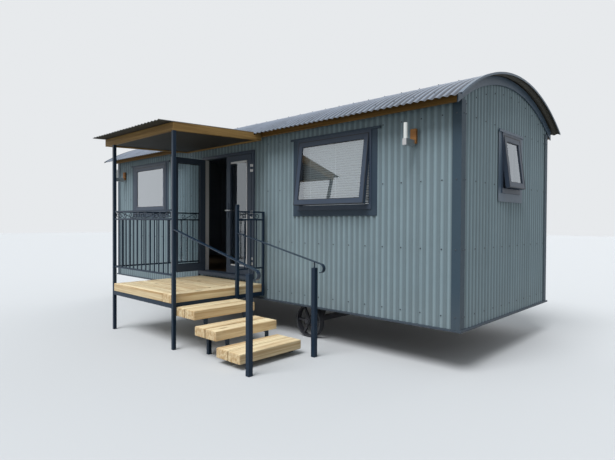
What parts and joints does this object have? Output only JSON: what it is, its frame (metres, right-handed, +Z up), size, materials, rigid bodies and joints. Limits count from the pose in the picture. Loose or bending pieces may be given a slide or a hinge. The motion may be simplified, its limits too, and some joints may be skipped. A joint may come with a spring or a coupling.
{
  "type": "shepherd's hut",
  "caption": "Arched-roof hut on spoked cast wheels, clad in corrugated steel, with glazed double doors, timber deck, canopy and side steps with handrails.",
  "frame": {"origin": "on the ground, under the middle of the overall box", "axes": "+X along the hut towards the gable beside the steps, +Y from the door side to the back, +Z up"},
  "size_m": [7.356, 4.25, 3.0647],
  "materials": {
    "cladding_steel": "satin blue-grey coated corrugated sheet",
    "roof_steel": "satin blue-grey coated curved sheet",
    "flashing_steel": "satin grey coated folded steel",
    "wall_core": "insulated panel, painted off-white inside",
    "floor_boards": "matt boards",
    "fascia_timber": "stained brown timber",
    "soffit_boards": "stained boards",
    "sleeper_oak": "sawn pale oak",
    "anthracite_frame": "satin anthracite",
    "glazing": "clear sealed double glazing",
    "white_slats": "satin white slats",
    "handle_steel": "brushed",
    "black_steel": "satin blue-black paint",
    "chassis_steel": "matt black paint",
    "wheel_iron": "painted dark grey",
    "lamp_glass": "frosted tube"
  },
  "bodies": {
    "hut": {"floor": "floor_boards", "front_wall_left": "wall_core", "front_wall_right": "wall_core", "front_wall_over_door": "wall_core", "front_wall_under_door": "wall_core", "back_wall": "wall_core", "gable_wall_right": "wall_core", "gable_wall_left": "wall_core", "roof_arch": "wall_core", "roof_sheets": "roof_steel", "verge_bands": "flashing_steel", "verge_flashings": "flashing_steel", "front_cladding": "cladding_steel", "back_cladding": "cladding_steel", "gable_claddings": "cladding_steel", "eave_fascias": "fascia_timber", "corner_flashings": "flashing_steel", "base_flashings": "flashing_steel", "gable_base_flashings": "flashing_steel", "window_frames": "anthracite_frame", "window_sashes": "anthracite_frame", "window_panes": "glazing", "window_trims": "flashing_steel", "window_blind": "white_slats", "door_frame": "anthracite_frame", "door_hinges": "anthracite_frame", "door_threshold": "anthracite_frame", "deck_sleepers": "sleeper_oak", "deck_beams": "black_steel", "deck_joists": "black_steel", "canopy_frame": "fascia_timber", "canopy_soffit": "soffit_boards", "canopy_sheet": "cladding_steel", "canopy_posts": "black_steel", "step_treads": "sleeper_oak", "step_supports": "black_steel", "newels": "black_steel", "railing_posts": "black_steel", "handrail_front": "black_steel", "handrail_rear": "black_steel", "railing_front": "black_steel", "railing_left": "black_steel", "railing_right": "black_steel", "chassis_rails": "chassis_steel", "cross_members": "chassis_steel", "axles": "wheel_iron", "axle_brackets": "chassis_steel", "lamp_blocks": "sleeper_oak", "lamp_arms": "handle_steel", "lamp_tubes": "lamp_glass"},
    "left_leaf": {"door_leaf_left": "anthracite_frame", "door_glass_left": "glazing"},
    "right_leaf": {"door_leaf_right": "anthracite_frame", "door_glass_right": "glazing", "door_handle": "handle_steel"},
    "front_right_wheel": {"wheel_front_right": "wheel_iron"},
    "front_left_wheel": {"wheel_front_left": "wheel_iron"},
    "back_right_wheel": {"wheel_back_right": "wheel_iron"},
    "back_left_wheel": {"wheel_back_left": "wheel_iron"}
  },
  "joints": [
    {"name": "left_leaf_hinge", "type": "hinge", "parent": "hut", "child": "left_leaf", "pos_m": [-0.6125, -0.581, 1.55], "axis": [0, 0, 1], "range_deg": [0, 90]},
    {"name": "right_leaf_hinge", "type": "hinge", "parent": "hut", "child": "right_leaf", "pos_m": [0.5225, -0.581, 1.55], "axis": [0, 0, 1], "range_deg": [0, 90]},
    {"name": "front_right_wheel_spin", "type": "hinge", "parent": "hut", "child": "front_right_wheel", "pos_m": [1.495, -0.4125, 0.205], "axis": [0, 1, 0], "continuous": true},
    {"name": "front_left_wheel_spin", "type": "hinge", "parent": "hut", "child": "front_left_wheel", "pos_m": [-1.495, -0.4125, 0.205], "axis": [0, 1, 0], "continuous": true},
    {"name": "back_right_wheel_spin", "type": "hinge", "parent": "hut", "child": "back_right_wheel", "pos_m": [1.495, 1.8125, 0.205], "axis": [0, 1, 0], "continuous": true},
    {"name": "back_left_wheel_spin", "type": "hinge", "parent": "hut", "child": "back_left_wheel", "pos_m": [-1.495, 1.8125, 0.205], "axis": [0, 1, 0], "continuous": true}
  ]
}
